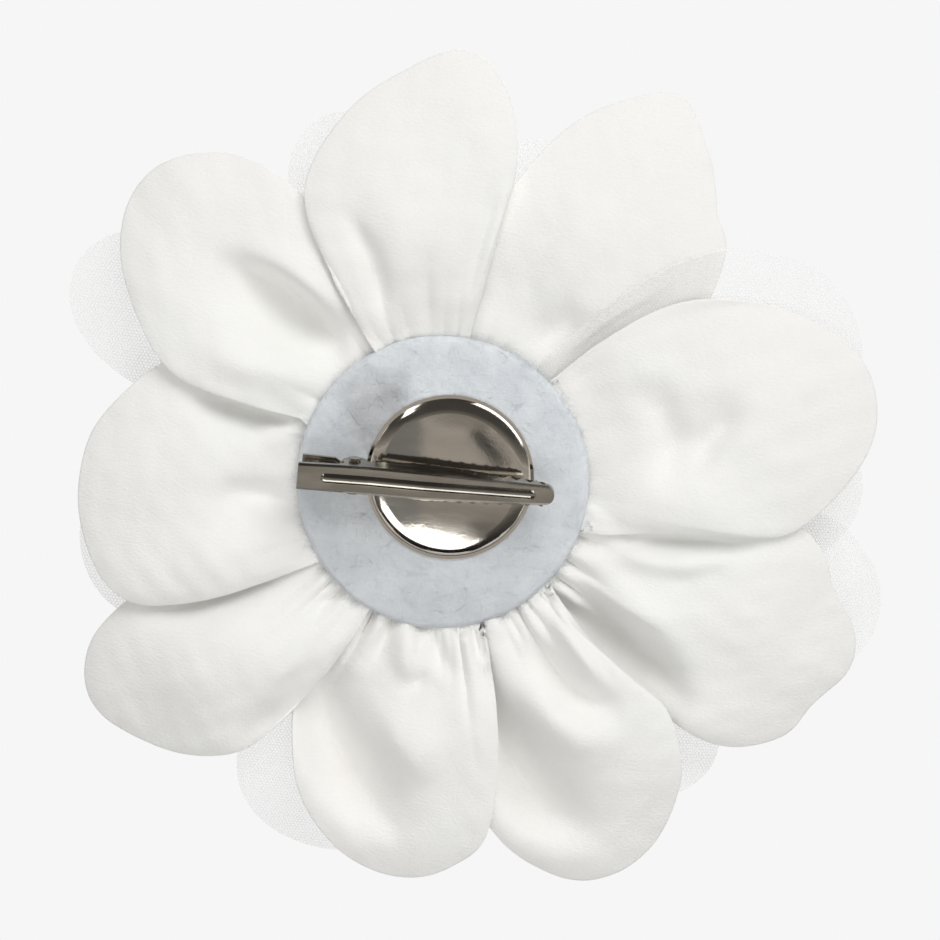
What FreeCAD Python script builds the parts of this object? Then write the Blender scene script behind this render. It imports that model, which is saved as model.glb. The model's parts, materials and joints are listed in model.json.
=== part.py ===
import FreeCAD, Part
import math
import os

from FreeCAD import Vector

# Fabric flower on a toothed spring clip, in millimetres.
# Frame: +X runs along the clip from its tail to its tip, +Z is up as worn, and +Y points from the
# hair to the front of the flower. The origin is in the bite plane of the jaws, on the plate's axis.

# ------------------------------------------------------------------ driving dimensions: clip
SHEET = 0.45            # thickness of the stamped steel
TAIL_X = -23.3          # end of the upper tail
LOWER_TAIL_X = -22.9    # end of the lower tail
PIVOT_X = -14.8         # hinge axis, which runs along Z in the bite plane
TIP_X = 16.3            # nose of the jaws
NOSE_RADIUS = 1.6       # rounding of the nose, seen from above
EDGE_CHAMFER = 0.35     # broken edge between a jaw's plate and its flanges
EAR_RADIUS = 1.9        # hinge ears around the pin
PIN_RADIUS = 0.75
HINGE_CLEARANCE = 0.05  # radial play of the moving ears on the pin
PIN_HEAD_RADIUS = 0.95
PIN_HEAD = 0.2          # thickness of a pin head
PIN_HEAD_Z = 2.62       # inner face of a pin head
BITE_GAP = 0.12         # half of the gap between the closed rows of teeth
TOOTH_PITCH = 2.1
TOOTH_HEIGHT = 0.9
TOOTH_COUNT = 10
TEETH_START_X = -6.6
TAIL_FLANGE = 1.15      # depth of the turned edge round a tail
BEAD_START_X = -19.0    # pressed stiffening bead along the upper jaw
BEAD_END_X = 12.6
BEAD_RADIUS = 0.9
BEAD_SINK = 0.45        # depth of the bead's own axis below the plate's outer face

# Jaw stations: x, height of the plate above the bite plane, half width of the plate, and half width
# where the splayed flanges would reach FLANGE_REACH past the bite plane.
FLANGE_REACH = 2.2
UPPER_STATIONS = [
    (TAIL_X, 4.3, 2.05, 2.15),
    (-17.3, 3.6, 2.15, 2.35),
    (-12.4, 3.1, 2.2, 2.7),
    (-4.0, 2.9, 2.15, 3.5),
    (TIP_X, 0.95, 1.5, 2.45),
]
LOWER_STATIONS = [
    (LOWER_TAIL_X, 3.3, 2.05, 2.1),
    (-17.8, 2.95, 2.05, 2.1),
    (-17.0, 2.9, 1.6, 1.6),
    (-12.7, 2.9, 1.6, 1.6),
    (-11.6, 2.9, 2.15, 3.0),
    (-4.0, 2.9, 2.1, 3.5),
    (3.0, 2.9, 1.95, 3.15),
    (TIP_X, 0.95, 1.5, 2.45),
]

# ------------------------------------------------------------------ driving dimensions: spring
WIRE_RADIUS = 0.24
LEG_RADIUS = 0.21       # the legs are drawn a little thinner than the coil
COIL_RADIUS = 1.25
COIL_TURNS = 3.5
COIL_PITCH = 0.5
LEG_END_X = -20.4
UPPER_LEG_Y = -3.2      # where the upper leg ends, just under the upper tail
LOWER_LEG_Y = 2.35      # where the lower leg ends, just above the lower tail

# ------------------------------------------------------------------ driving dimensions: plate, felt
PLATE_APEX_Y = 3.0
PLATE_REST_Y = 5.5      # the plate's rim lies on the felt here
PLATE_RADIUS = 13.0
PLATE_SHEET = 0.4
SHOULDER_RADIUS = 12.5  # outside of the dome, where the flat rim begins
CROWN_RADIUS = 10.4     # where the shallow crown turns into the shoulder
CROWN_DROP = 0.9        # fall of the crown from its apex to CROWN_RADIUS
WELD_X = (-5.0, 2.8)    # the weld pad's two ends
WELD_HALF_WIDTH = 1.5
FELT_THICKNESS = 1.7
FELT_HALF_WIDTH = 22.6
FELT_HALF_HEIGHT = 23.2
FLOWER_X = -1.05        # flower axis, a little off the plate's axis
FLOWER_Z = -1.2
BASE_RADIUS = 17.4
BASE_THICKNESS = 1.0

# ------------------------------------------------------------------ driving dimensions: petals
PETAL_GAP = 0.3         # gap between neighbours in one ring
ROOT_RADIUS = 17.5      # the sewn, flat part of every petal ends here
ROOT_HOLE = 4.0         # open centre of the sewn petals
BUD_RADIUS = 10.5
BUD_HEIGHT = 19.0
BUD_FOOT_RADIUS = 7.4
BUD_ROUNDING = 6.3      # radius of the rounded shoulder at the top of the bud

# Petals: azimuth from +X towards +Z, tip radius, width.
BACK_PETALS = [
    (95, 67.0, 35),
    (64, 69.5, 31),
    (17, 68.2, 40),
    (-22, 70.6, 34),
    (-62, 70.0, 32),
    (-95, 65.2, 31),
    (-140, 66.8, 33),
    (-174, 57.0, 36),
    (141, 65.4, 38),
]
BACK_NET = [
    (117, 60.0, 34),
    (76, 62.0, 34),
    (36, 67.0, 40),
    (2, 66.0, 34),
    (-24, 72.5, 34),
    (-52, 66.0, 32),
    (-82, 58.0, 30),
    (-112, 67.0, 34),
    (-157, 60.0, 34),
    (157, 64.0, 36),
]

# Rings from the back of the flower to its front: name, thickness, half-way radius, rise there and
# rise at the rim, both measured from the ring's own root.
RINGS = {
    "back_petal": (1.6, 42.0, -0.6, 5.5),
    "back_net": (0.8, 42.0, 1.6, 9.5),
    "middle_petal": (1.6, 38.0, 4.5, 15.0),
    "middle_net": (0.8, 32.0, 6.0, 19.0),
    "front_petal": (1.5, 24.0, 7.0, 20.0),
}
MIDDLE_COUNT, MIDDLE_TIP, MIDDLE_WIDTH, MIDDLE_TURN = 8, 60.0, 40, 20
NET_COUNT, NET_TIP, NET_WIDTH, NET_TURN = 7, 50.0, 38, 5
FRONT_COUNT, FRONT_TIP, FRONT_WIDTH, FRONT_TURN = 6, 38.0, 34, 35


def save(shape, name):
    """Write one sub-part, after making sure that it is sound."""
    if not shape.isValid() or shape.Volume <= 0:
        raise ValueError(name + " is not a sound solid")
    shape.exportStep("parts/" + name + ".step")
    print(name, len(shape.Solids), "solid", round(shape.Volume, 2), "mm3")


# ------------------------------------------------------------------ jaws
def channel_section(station, wall, side):
    """Closed section of a jaw at one station, shrunk by wall; side is -1 for the upper jaw."""
    x, height, plate_half, edge_half = station
    top = height - wall
    half = plate_half - wall
    edge = edge_half - wall
    bevel = EDGE_CHAMFER
    corners = [
        (-edge, -FLANGE_REACH),
        (-half, top - bevel),
        (-half + bevel, top),
        (half - bevel, top),
        (half, top - bevel),
        (edge, -FLANGE_REACH),
    ]
    points = [Vector(x, side * y, z) for z, y in corners]
    return Part.makePolygon(points + points[:1])


def channel(stations, side):
    """Open channel with splayed flanges, closed at its nose and at the end of its tail."""
    outer = Part.makeLoft([channel_section(s, 0.0, side) for s in stations], True, True)
    tail_x, tail_height, tail_half, tail_edge = stations[0]
    nose_x, nose_height, nose_half, nose_edge = stations[-1]
    inside = [(tail_x + SHEET, tail_height, tail_half, tail_edge)]
    inside += stations[1:-1]
    inside += [(nose_x - 2 * SHEET, nose_height, nose_half, nose_edge)]
    hollow = Part.makeLoft([channel_section(s, SHEET, side) for s in inside], True, True)
    floor = Part.makeBox(80, 2 * SHEET, 20, Vector(-40, -SHEET, -10))
    floor.translate(Vector(0, -side * FLANGE_REACH, 0))
    return outer.cut(hollow).cut(floor)


def teeth_line(side):
    """Zigzag edge of one jaw from its nose towards the pivot, half a tooth off the bite plane."""
    points = []
    gap = side * BITE_GAP
    for i in range(TOOTH_COUNT, 0, -1):
        x = TEETH_START_X + TOOTH_PITCH * i
        points.append(Vector(x, gap - TOOTH_HEIGHT / 2, 0))
        points.append(Vector(x - TOOTH_PITCH / 2, gap + TOOTH_HEIGHT / 2, 0))
    points.append(Vector(TEETH_START_X, gap, 0))
    return points


def side_profile(stations, side):
    """Block that trims a channel to its side view: teeth, hinge ears and shallow tail edges."""
    far = side * 12.0
    gap = side * BITE_GAP
    behind_x = PIVOT_X - EAR_RADIUS - 0.4
    behind_y = side * (stations[1][1] - TAIL_FLANGE)
    tail_y = side * (stations[0][1] - TAIL_FLANGE)
    points = [Vector(TAIL_X - 1, far, 0), Vector(TIP_X + 1, far, 0), Vector(TIP_X + 1, gap, 0)]
    points += teeth_line(side)
    points += [Vector(PIVOT_X, gap, 0), Vector(behind_x, behind_y, 0), Vector(TAIL_X - 1, tail_y, 0)]
    block = Part.Face(Part.makePolygon(points + points[:1])).extrude(Vector(0, 0, 10))
    block.translate(Vector(0, 0, -5))
    return block.fuse(cylinder_z(EAR_RADIUS, -5, 5))


def cylinder_z(radius, low, high):
    """Cylinder along Z on the hinge axis."""
    return Part.makeCylinder(radius, high - low, Vector(PIVOT_X, 0, low), Vector(0, 0, 1))


def nose_plan():
    """Plan outline with the rounded nose, as a block across the whole clip."""
    centre = TIP_X - NOSE_RADIUS
    block = Part.makeBox(centre - TAIL_X, 20, 8, Vector(TAIL_X, -10, -4))
    nose = Part.makeCylinder(NOSE_RADIUS, 20, Vector(centre, -10, 0), Vector(0, 1, 0))
    return block.fuse(nose)


def jaw(stations, side, hole_radius):
    body = channel(stations, side).common(side_profile(stations, side)).common(nose_plan())
    return body.cut(cylinder_z(hole_radius, -6, 6))


def height_at(stations, x):
    """Height of a jaw's outer face above the bite plane at x."""
    for (x0, y0, *_), (x1, y1, *_) in zip(stations, stations[1:]):
        if x <= x1:
            return y0 + (y1 - y0) * (x - x0) / (x1 - x0)
    return stations[-1][1]


def stiffening_bead():
    """Round-topped rib that follows the upper jaw's plate, without the half inside the plate."""
    bends = [s[0] for s in UPPER_STATIONS if BEAD_START_X < s[0] < BEAD_END_X]
    spots = []
    for x in [BEAD_START_X] + bends + [BEAD_END_X]:
        spots.append(Vector(x, BEAD_SINK - height_at(UPPER_STATIONS, x), 0))
    rod = Part.makeSphere(BEAD_RADIUS, spots[0])
    for start, end in zip(spots, spots[1:]):
        run = end - start
        rod = rod.fuse(Part.makeCylinder(BEAD_RADIUS, run.Length, start, run))
        rod = rod.fuse(Part.makeSphere(BEAD_RADIUS, end))
    plate = [Vector(s[0], SHEET - s[1], -2) for s in UPPER_STATIONS]
    above = [Vector(TIP_X, -12, -2), Vector(TAIL_X, -12, -2)]
    keep = Part.Face(Part.makePolygon(plate + above + plate[:1])).extrude(Vector(0, 0, 4))
    return rod.common(keep)


def upper_jaw():
    return jaw(UPPER_STATIONS, -1, PIN_RADIUS + HINGE_CLEARANCE).fuse(stiffening_bead()).removeSplitter()


def lower_jaw():
    return jaw(LOWER_STATIONS, 1, PIN_RADIUS)


def pivot_pin():
    """Rivet through both pairs of ears, with a thin head at each end."""
    pin = cylinder_z(PIN_RADIUS, -PIN_HEAD_Z, PIN_HEAD_Z)
    for low in (-PIN_HEAD_Z - PIN_HEAD, PIN_HEAD_Z):
        pin = pin.fuse(cylinder_z(PIN_HEAD_RADIUS, low, low + PIN_HEAD))
    return pin.removeSplitter()


def torsion_spring():
    """Coil round the pin whose two legs push the tails apart."""
    height = COIL_PITCH * COIL_TURNS
    helix = Part.makeHelix(COIL_PITCH, height, COIL_RADIUS)
    ring = Part.Wire(Part.makeCircle(WIRE_RADIUS, Vector(COIL_RADIUS, 0, 0), Vector(0, 1, 0)))
    spring = Part.Wire(helix).makePipeShell([ring], True, True)
    spring.rotate(Vector(0, 0, 0), Vector(0, 0, 1), -90)
    spring.translate(Vector(PIVOT_X, 0, -height / 2))
    for start_y, start_z, end_y in (
        (-COIL_RADIUS, -height / 2, UPPER_LEG_Y),
        (COIL_RADIUS, height / 2, LOWER_LEG_Y),
    ):
        start = Vector(PIVOT_X + WIRE_RADIUS / 2, start_y, start_z)
        run = Vector(LEG_END_X, end_y, start_z) - start
        spring = spring.fuse(Part.makeCylinder(LEG_RADIUS, run.Length, start, run))
    return spring


# ------------------------------------------------------------------ plate, felt and base
def turned(edges, axis_x, axis_z):
    """Solid of revolution about a line parallel to Y; edges close a face in the XY plane."""
    face = Part.Face(Part.Wire(edges))
    solid = face.revolve(Vector(0, 0, 0), Vector(0, 1, 0), 360)
    solid.translate(Vector(axis_x, 0, axis_z))
    return solid


def line(a, b):
    return Part.makeLine(Vector(*a, 0), Vector(*b, 0))


def arc(a, b, c):
    return Part.Arc(Vector(*a, 0), Vector(*b, 0), Vector(*c, 0)).toShape()


def rounded(centre, radius, tilt):
    """Point of an arc about centre whose surface leans outwards by tilt."""
    return (centre[0] + radius * math.sin(tilt), centre[1] - radius * math.cos(tilt))


def dome_edges(sheet):
    """Crown and, smoothly after it, the shoulder of the plate, both moved in by sheet."""
    crown_size = (CROWN_RADIUS ** 2 + CROWN_DROP ** 2) / (2 * CROWN_DROP)
    crown_centre = (0, PLATE_APEX_Y + crown_size)
    lean = math.asin(CROWN_RADIUS / crown_size)
    run = SHOULDER_RADIUS - CROWN_RADIUS
    drop = PLATE_REST_Y - PLATE_SHEET - PLATE_APEX_Y - CROWN_DROP
    size = (run ** 2 + drop ** 2) / (2 * (drop * math.cos(lean) - run * math.sin(lean)))
    start = rounded(crown_centre, crown_size, lean)
    centre = rounded(start, -size, lean)
    foot_lean = math.asin((SHOULDER_RADIUS - centre[0]) / size)
    inner = crown_size - sheet
    crown = [rounded(crown_centre, inner, lean * share) for share in (0, 0.5, 1)]
    leans = (lean, (lean + foot_lean) / 2, foot_lean)
    shoulder = [rounded(centre, size - sheet, a) for a in leans]
    return [arc(*crown), arc(crown[2], *shoulder[1:])]


def round_plate():
    """Shallow pressed dome with a flat rim."""
    top = PLATE_REST_Y - PLATE_SHEET
    inside = dome_edges(PLATE_SHEET)
    foot = inside[1].Vertexes[1].Point
    rim = [
        line((SHOULDER_RADIUS, top), (PLATE_RADIUS, top)),
        line((PLATE_RADIUS, top), (PLATE_RADIUS, PLATE_REST_Y)),
        line((PLATE_RADIUS, PLATE_REST_Y), (foot.x, PLATE_REST_Y)),
        line((foot.x, PLATE_REST_Y), (foot.x, foot.y)),
    ]
    axis = line((0, PLATE_APEX_Y), (0, PLATE_APEX_Y + PLATE_SHEET))
    edges = dome_edges(0.0) + rim + inside + [axis]
    return turned(Part.sortEdges(edges)[0], 0, 0)


def filled_dome():
    """Everything behind the plate's outer face, used to seat the weld pad on it."""
    top = PLATE_REST_Y - PLATE_SHEET
    back = [
        line((SHOULDER_RADIUS, top), (SHOULDER_RADIUS, PLATE_REST_Y)),
        line((SHOULDER_RADIUS, PLATE_REST_Y), (0, PLATE_REST_Y)),
        line((0, PLATE_REST_Y), (0, PLATE_APEX_Y)),
    ]
    return turned(Part.sortEdges(dome_edges(0.0) + back)[0], 0, 0)


def weld_pad():
    """Thin pad of solder between the lower jaw and the crown of the plate."""
    low = LOWER_STATIONS[-2][1]
    start, end = WELD_X
    size = (end - start, PLATE_APEX_Y + CROWN_DROP - low, 2 * WELD_HALF_WIDTH)
    return Part.makeBox(*size, Vector(start, low, -WELD_HALF_WIDTH)).cut(filled_dome())


def felt_disc():
    """Hand-cut oval of felt behind the plate."""
    centre = Vector(FLOWER_X, PLATE_REST_Y, FLOWER_Z)
    top = centre + Vector(0, 0, FELT_HALF_HEIGHT)
    side = centre + Vector(FELT_HALF_WIDTH, 0, 0)
    oval = Part.Wire(Part.Ellipse(top, side, centre).toShape())
    return Part.Face(oval).extrude(Vector(0, FELT_THICKNESS, 0))


def base_disc():
    """Stiff woven disc that every petal is sewn to."""
    start = Vector(FLOWER_X, PLATE_REST_Y + FELT_THICKNESS, FLOWER_Z)
    return Part.makeCylinder(BASE_RADIUS, BASE_THICKNESS, start, Vector(0, 1, 0))


# ------------------------------------------------------------------ petals
def ring_shell(root_y, ring, rim_radius):
    """Full dish of one ring: a flat sewn root, then a curve out to the rim."""
    thick, half_radius, half_rise, rim_rise = ring
    faces = []
    for y in (root_y, root_y + thick):
        root = (ROOT_RADIUS, y)
        half = (half_radius, y + half_rise)
        rim = (rim_radius, y + rim_rise)
        faces += [line((ROOT_HOLE, y), root), arc(root, half, rim)]
    ends = []
    for radius, rise in ((ROOT_HOLE, 0.0), (rim_radius, rim_rise)):
        ends.append(line((radius, root_y + rise), (radius, root_y + rise + thick)))
    return turned(Part.sortEdges(faces + ends)[0], FLOWER_X, FLOWER_Z)


def petal_outline(azimuth, tip, width):
    """Oval block seen along Y, from the open centre to the petal's tip."""
    low = ROOT_HOLE
    centre = (tip + low) / 2
    oval = Part.Ellipse(Vector(0, 0, 0), (tip - low) / 2, width / 2)
    block = Part.Face(Part.Wire(oval.toShape())).extrude(Vector(0, 0, 80))
    block.translate(Vector(centre, 0, -5))
    block.rotate(Vector(0, 0, 0), Vector(1, 0, 0), -90)
    block.rotate(Vector(0, 0, 0), Vector(0, 1, 0), -azimuth)
    block.translate(Vector(FLOWER_X, 0, FLOWER_Z))
    return block


def sector(start, end):
    """Wedge from azimuth start to end in degrees, drawn back from both sides by half of the gap."""
    reach = 200.0
    middle = math.radians((start + end) / 2)
    half = math.radians((end - start) / 2)
    inset = PETAL_GAP / 2 / math.sin(half)
    apex = Vector(FLOWER_X + inset * math.cos(middle), -5, FLOWER_Z + inset * math.sin(middle))
    sides = []
    for angle in (middle - half, middle + half):
        sides.append(apex + Vector(reach * math.cos(angle), 0, reach * math.sin(angle)))
    face = Part.Face(Part.makePolygon([apex, sides[0], sides[1], apex]))
    return face.extrude(Vector(0, 90, 0))


def neighbour_limits(petals):
    """For each petal, the azimuths half-way to the neighbours on its two sides."""
    limits = []
    for azimuth, _, _ in petals:
        gaps = [(other - azimuth) % 360 for other, _, _ in petals if other != azimuth]
        limits.append((azimuth - (360 - max(gaps)) / 2, azimuth + min(gaps) / 2))
    return limits


def petal_ring(name, petals, root_y):
    """Write each petal of one ring and return the height where the next ring starts."""
    ring = RINGS[name]
    shell = ring_shell(root_y, ring, max(tip for _, tip, _ in petals) + 1)
    for number, (petal, limit) in enumerate(zip(petals, neighbour_limits(petals)), 1):
        shape = shell.common(sector(*limit)).common(petal_outline(*petal))
        save(shape, name + "_" + str(number))
    return root_y + ring[0]


def even_ring(count, tip, width, turn):
    return [(turn + 360 * i / count, tip, width) for i in range(count)]


def centre_bud(root_y):
    """Rolled bud that closes the middle of the flower."""
    top_y = root_y + BUD_HEIGHT
    foot = (BUD_FOOT_RADIUS, root_y)
    belly = (BUD_RADIUS, top_y - BUD_ROUNDING)
    crown = (BUD_RADIUS - BUD_ROUNDING, top_y)
    slant = BUD_ROUNDING * math.sqrt(0.5)
    shoulder = (crown[0] + slant, belly[1] + slant)
    edges = [
        line((0, root_y), foot),
        line(foot, belly),
        arc(belly, shoulder, crown),
        line(crown, (0, top_y)),
        line((0, top_y), (0, root_y)),
    ]
    return turned(edges, FLOWER_X, FLOWER_Z)


def flower():
    root_y = PLATE_REST_Y + FELT_THICKNESS + BASE_THICKNESS
    root_y = petal_ring("back_petal", BACK_PETALS, root_y)
    root_y = petal_ring("back_net", BACK_NET, root_y)
    middle = even_ring(MIDDLE_COUNT, MIDDLE_TIP, MIDDLE_WIDTH, MIDDLE_TURN)
    root_y = petal_ring("middle_petal", middle, root_y)
    net = even_ring(NET_COUNT, NET_TIP, NET_WIDTH, NET_TURN)
    root_y = petal_ring("middle_net", net, root_y)
    front = even_ring(FRONT_COUNT, FRONT_TIP, FRONT_WIDTH, FRONT_TURN)
    root_y = petal_ring("front_petal", front, root_y)
    save(centre_bud(root_y), "centre_bud")


save(upper_jaw(), "upper_jaw")
save(lower_jaw(), "lower_jaw")
save(pivot_pin(), "pivot_pin")
save(torsion_spring(), "torsion_spring")
save(weld_pad(), "weld_pad")
save(round_plate(), "round_plate")
save(felt_disc(), "felt_disc")
save(base_disc(), "base_disc")
flower()
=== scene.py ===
import json
import math
from collections import namedtuple

import bmesh
import bpy
import numpy as np
from mathutils import Matrix, Vector


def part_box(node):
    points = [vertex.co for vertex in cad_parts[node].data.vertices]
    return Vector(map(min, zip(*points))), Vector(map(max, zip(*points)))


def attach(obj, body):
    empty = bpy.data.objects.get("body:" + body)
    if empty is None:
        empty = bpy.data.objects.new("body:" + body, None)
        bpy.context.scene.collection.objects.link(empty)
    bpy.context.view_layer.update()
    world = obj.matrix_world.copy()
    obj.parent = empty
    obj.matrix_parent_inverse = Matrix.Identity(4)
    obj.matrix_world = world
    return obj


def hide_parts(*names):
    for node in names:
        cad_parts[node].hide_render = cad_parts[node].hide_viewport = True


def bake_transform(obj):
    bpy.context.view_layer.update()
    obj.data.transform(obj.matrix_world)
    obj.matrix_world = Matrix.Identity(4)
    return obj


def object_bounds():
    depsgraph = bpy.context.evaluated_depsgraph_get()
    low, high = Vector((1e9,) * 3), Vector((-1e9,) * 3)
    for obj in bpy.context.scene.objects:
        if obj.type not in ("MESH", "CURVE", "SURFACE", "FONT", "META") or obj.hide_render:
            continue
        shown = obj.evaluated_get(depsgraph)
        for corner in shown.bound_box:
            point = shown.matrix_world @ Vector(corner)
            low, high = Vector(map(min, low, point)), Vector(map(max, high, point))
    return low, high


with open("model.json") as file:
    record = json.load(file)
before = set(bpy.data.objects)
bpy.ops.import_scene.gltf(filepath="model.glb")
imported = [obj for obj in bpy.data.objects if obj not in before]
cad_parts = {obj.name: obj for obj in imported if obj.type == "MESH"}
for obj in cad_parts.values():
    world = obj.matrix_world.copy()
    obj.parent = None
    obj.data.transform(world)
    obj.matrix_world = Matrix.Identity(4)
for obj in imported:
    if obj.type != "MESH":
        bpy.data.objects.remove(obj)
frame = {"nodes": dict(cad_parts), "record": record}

# Shapes are worked out in millimetres about the flower's own axis, which runs along Y, and are turned
# into metres in the frame when a mesh is made. Plan points are (x, z); depth is y, away from the hair.
MM = 0.001
FLOWER = "flower"
CAD_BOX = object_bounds()


BASE_LOW, BASE_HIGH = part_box("base_disc")
FELT_LOW, FELT_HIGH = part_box("felt_disc")
AXIS = np.array([(BASE_LOW[0] + BASE_HIGH[0]) / 2, 0, (BASE_LOW[2] + BASE_HIGH[2]) / 2]) / MM
ROOT_Y = BASE_HIGH[1] / MM           # the petals are sewn on here


# ---------- stage and camera
VIEW_RISE = math.radians(13.0)       # the camera looks down a little
VIEW_ROLL = math.radians(5.6)        # and is turned, so that the clip slopes
VIEW_TARGET = Vector((3.0, 8.0, 0.8)) * MM
VIEW_DISTANCE = 1.2
VIEW_WIDTH = 145.7 * MM              # width seen at the target
SENSOR = 36.0


def add_object(name, data):
    obj = bpy.data.objects.new(name, data)
    bpy.context.scene.collection.objects.link(obj)
    return obj


def add_camera():
    data = bpy.data.cameras.new("camera")
    data.sensor_width = SENSOR
    data.lens = SENSOR * VIEW_DISTANCE / VIEW_WIDTH
    data.clip_end = 20
    camera = add_object("camera", data)
    ahead = Vector((0, math.cos(VIEW_RISE), -math.sin(VIEW_RISE)))
    level_up = Vector((0, math.sin(VIEW_RISE), math.cos(VIEW_RISE)))
    level_right = Vector((1, 0, 0))
    right = level_right * math.cos(VIEW_ROLL) + level_up * math.sin(VIEW_ROLL)
    up = level_up * math.cos(VIEW_ROLL) - level_right * math.sin(VIEW_ROLL)
    turn = Matrix((right, up, -ahead)).transposed().to_4x4()
    camera.matrix_world = Matrix.Translation(VIEW_TARGET - ahead * VIEW_DISTANCE) @ turn
    bpy.context.scene.camera = camera


def emission(name, colour, strength):
    material = bpy.data.materials.new(name)
    material.use_nodes = True
    nodes = material.node_tree.nodes
    nodes.clear()
    glow = nodes.new("ShaderNodeEmission")
    glow.inputs["Color"].default_value = (*colour, 1)
    glow.inputs["Strength"].default_value = strength
    out = nodes.new("ShaderNodeOutputMaterial")
    material.node_tree.links.new(glow.outputs[0], out.inputs["Surface"])
    return material


PALE = (0.921, 0.921, 0.921)
FLOOR_DROP = 6.0 * MM
FLOOR_HALF = 2.5
DOME_RADIUS = 3.5


def add_mesh(name, vertices, faces):
    mesh = bpy.data.meshes.new(name)
    mesh.from_pydata(vertices, [], faces)
    mesh.update()
    return add_object(name, mesh)


def dome_points(radius, rings=12, around=24):
    """Points and faces of a ball about the frame's origin."""
    points = [(0, 0, radius)]
    for i in range(1, rings):
        tilt = math.pi * i / rings
        for j in range(around):
            turn = 2 * math.pi * j / around
            flat = radius * math.sin(tilt)
            points.append((flat * math.cos(turn), flat * math.sin(turn), radius * math.cos(tilt)))
    points.append((0, 0, -radius))
    faces = [(0, 1 + j, 1 + (j + 1) % around) for j in range(around)]
    for i in range(rings - 2):
        for j in range(around):
            a, b = 1 + i * around + j, 1 + i * around + (j + 1) % around
            faces.append((a, a + around, b + around, b))
    last = len(points) - 1
    start = last - around
    faces += [(last, start + (j + 1) % around, start + j) for j in range(around)]
    return points, faces


def hide_from(obj, *rays):
    """Leave a stage object out of what these kinds of ray see."""
    for ray in rays:
        setattr(obj, "visible_" + ray, False)


def add_stage():
    """Pale floor under the flower and a pale dome round it, which light nothing and show in no metal."""
    low = CAD_BOX[0][2] - FLOOR_DROP
    corners = [(x * FLOOR_HALF, y * FLOOR_HALF, low) for x, y in ((-1, -1), (1, -1), (1, 1), (-1, 1))]
    floor = add_mesh("floor", corners, [(0, 1, 2, 3)])
    dome = add_mesh("backdrop", *dome_points(DOME_RADIUS))
    material = emission("pale_paper", PALE, 1.0)
    for obj in (floor, dome):
        obj.data.materials.append(material)
        hide_from(obj, "diffuse", "glossy", "transmission", "shadow")


def add_softbox(name, place, size, power):
    """Soft light at a place in metres, turned to the clip. The metal doesn't reflect it."""
    data = bpy.data.lights.new(name, "AREA")
    data.shape = "RECTANGLE"
    data.size, data.size_y = size
    data.energy = power
    light = add_object(name, data)
    light.location = place
    light.rotation_mode = "QUATERNION"
    light.rotation_quaternion = (-Vector(place)).to_track_quat("-Z", "Y")
    light.visible_glossy = False


def reflect_only(obj):
    """Leave an object to show in the metal's reflections and nowhere else."""
    hide_from(obj, "camera", "diffuse", "shadow", "transmission")


# Cards that only the metal reflects, in metres: level ones as (name, brightness, height, outline) and
# upright ones as (name, brightness, corners).
LEVEL_CARDS = [
    ("card_low", 3.0, -0.5, [(-0.55, -0.27), (-0.66, -0.6), (-0.34, -1.15), (-0.12, -0.9),
                             (0.14, -0.82), (0.2, -0.45), (0.1, -0.26), (-0.2, -0.24)]),
    ("card_left", 3.5, 0.6, [(-0.8, -0.4), (-0.62, -0.46), (-0.5, -0.38), (-0.54, -0.24),
                             (-0.38, -0.12), (-0.6, -0.04)]),
    ("card_right", 3.0, 0.6, [(0.14, -0.17), (0.27, -0.19), (0.68, -0.2), (1.1, -0.24), (1.7, -0.25),
                              (1.6, 0.05), (1.0, 0.04), (0.66, 0.08), (0.27, 0.02)]),
]
UPRIGHT_CARDS = [
    ("card_side", 0.22, [(-0.13, -0.9, -0.5), (-0.16, -0.9, 0.1), (-0.5, -0.75, 0.3),
                         (-0.5, -0.75, -0.45)]),
    ("card_dark", 0.04, [(0.05, -0.7, 0.036), (0.1, -0.7, 0.05), (0.17, -0.7, -0.02),
                         (0.225, -0.7, -0.09), (0.165, -0.7, -0.1), (0.11, -0.7, -0.03)]),
]


def add_cards():
    raised = [(name, glow, [(x, y, height) for x, y in flat]) for name, glow, height, flat in LEVEL_CARDS]
    for name, glow, corners in raised + UPRIGHT_CARDS:
        card = add_mesh(name, corners, [tuple(range(len(corners)))])
        card.data.materials.append(emission(name, (1, 1, 1), glow))
        reflect_only(card)


# Brightness of the room that the metal reflects: (sine of the elevation, brightness).
ROOM = [(-0.97, 0.01), (-0.80, 0.03), (-0.52, 0.10), (-0.38, 0.30), (-0.28, 0.45), (-0.10, 0.42),
        (0.0, 0.38), (0.04, 0.52), (0.07, 0.30), (0.20, 0.17), (0.42, 0.07), (0.95, 0.06)]
ROOM_TINT = (1.03, 0.975, 0.915)
ROOM_SWAY = 0.16         # how far the bands wander up and down
ROOM_SHIFT = 0.46        # half, less what the sway adds on average


def add_room():
    """Dome that only the metal reflects: dark below, brightest about level, dim above."""
    room = add_mesh("room", *dome_points(DOME_RADIUS * 0.9, 40, 60))
    m = Nodes(emission("room_grey", (1, 1, 1), 1.0), "Emission")
    unit = m.vector("NORMALIZE", m.place())
    height = m.node("SeparateXYZ", {0: unit}).outputs["Z"]
    sway = m.math("MULTIPLY_ADD", m.noise(unit, 1.6, 2.0), ROOM_SWAY, height)
    ramp = m.node("ValToRGB", {"Fac": m.math("MULTIPLY_ADD", sway, 0.5, ROOM_SHIFT)})
    stops = ramp.color_ramp.elements
    for index, (height, level) in enumerate(ROOM):
        spot = height / 2 + 0.5
        stop = stops[index] if index < 2 else stops.new(spot)
        stop.position = spot
        stop.color = (*(level * tint for tint in ROOM_TINT), 1)
    m.feed("Color", ramp.outputs["Color"])
    room.data.materials.append(m.material)
    reflect_only(room)


WORLD_GREY = (0.47, 0.47, 0.468)


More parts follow.
